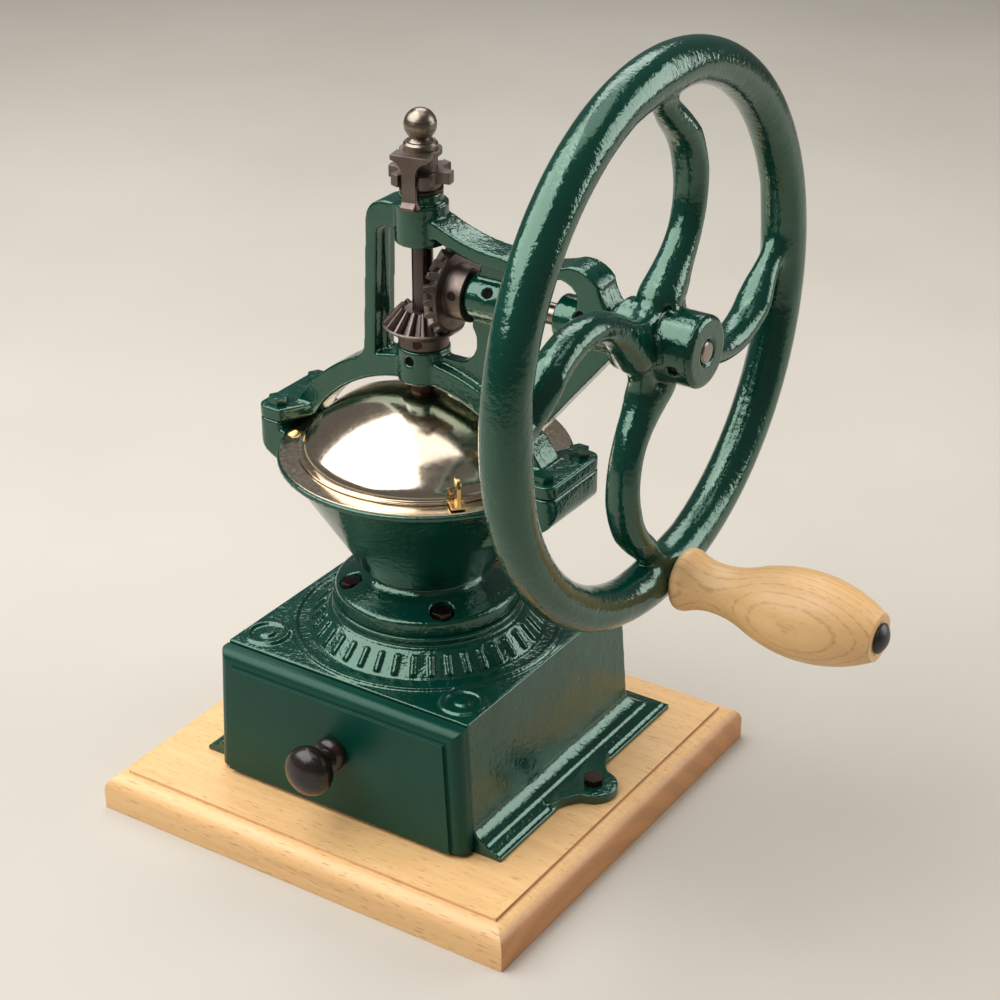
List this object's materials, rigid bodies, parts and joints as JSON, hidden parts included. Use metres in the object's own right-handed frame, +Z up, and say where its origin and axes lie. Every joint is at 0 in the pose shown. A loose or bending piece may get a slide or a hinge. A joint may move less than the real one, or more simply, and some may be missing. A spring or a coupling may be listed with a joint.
{
  "type": "hand crank coffee grinder",
  "caption": "Hand crank coffee grinder with a curved-spoke flywheel, bevel gears, a bowl hopper with a turning lid, and a drawer on a wooden board.",
  "frame": {"origin": "centre of the board's underside, on the spindle axis", "axes": "+Z up along the spindle, -Y the way the drawer opens, +X from the spindle towards the flywheel"},
  "size_m": [0.3521, 0.2606, 0.3979],
  "materials": {
    "beech": "pale steamed beech, matt oil, fine dark flecks along the grain",
    "beech_handle": "turned pale beech, satin lacquer, ring figure on the belly",
    "green_enamel": "thick glossy dark green enamel over rough cast iron",
    "green_satin": "smooth satin dark green paint",
    "dark_steel": "dark browned steel",
    "gun_metal": "phosphated brown-grey steel, satin",
    "spindle_steel": "dark polished round bar",
    "finial_steel": "turned steel with a warm brushed finish",
    "bright_steel": "bare turned steel",
    "nickel": "polished nickel plate with a warm tint",
    "brass": "polished brass",
    "bronze": "plain bearing bronze",
    "burr_iron": "hard cast iron, bare",
    "black_knob": "black-brown satin knob",
    "black_cap": "black domed bolt head"
  },
  "bodies": {
    "stand": {"base_board": "beech", "base_box": "green_enamel", "board_screws": "dark_steel", "hopper": "green_enamel", "hopper_bolts": "dark_steel", "outer_burr": "burr_iron", "lid_rear": "nickel", "lid_rivets": "brass", "yoke": "green_enamel", "yoke_bolts": "green_enamel", "upper_bush": "bronze", "lower_bush": "dark_steel", "inner_bush": "bronze", "outer_bush": "bronze"},
    "drawer": {"drawer_front": "green_satin", "drawer_tray": "beech", "drawer_knob": "black_knob", "drawer_knob_screw": "bright_steel", "drawer_screws": "bright_steel"},
    "wheel": {"flywheel": "green_enamel", "crank_shaft": "bright_steel", "drive_gear": "gun_metal", "drive_gear_set_screw": "dark_steel", "hub_set_screw": "dark_steel", "handle_washer": "bright_steel", "handle_bolt": "black_cap"},
    "handle": {"handle_grip": "beech_handle"},
    "spindle": {"spindle": "spindle_steel", "pinion": "gun_metal", "pinion_set_screw": "dark_steel", "inner_burr": "burr_iron", "burr_nut": "dark_steel", "thrust_washer": "dark_steel", "star_nut": "gun_metal", "latch_strap": "gun_metal", "ball_finial": "finial_steel"},
    "lid_door": {"lid_door": "nickel", "lid_tab": "brass"}
  },
  "joints": [
    {"name": "wheel_spin", "type": "hinge", "parent": "stand", "child": "wheel", "pos_m": [0.09, 0, 0.26762], "axis": [1, 0, 0], "continuous": true},
    {"name": "spindle_spin", "type": "hinge", "parent": "stand", "child": "spindle", "pos_m": [0, 0, 0.26762], "axis": [0, 0, 1], "continuous": true},
    {"name": "handle_spin", "type": "hinge", "parent": "wheel", "child": "handle", "pos_m": [0.18, 0.012, 0.14822], "axis": [1, 0, 0], "continuous": true},
    {"name": "drawer_slide", "type": "slide", "parent": "stand", "child": "drawer", "axis": [0, -1, 0], "range_m": [0, 0.105]},
    {"name": "lid_turn", "type": "hinge", "parent": "stand", "child": "lid_door", "pos_m": [0, 0, 0.205], "axis": [0, 0, 1], "range_deg": [-105, 0]}
  ],
  "couplings": [
    {"joint": "spindle_spin", "follows": "wheel_spin", "ratio": 1.25}
  ]
}
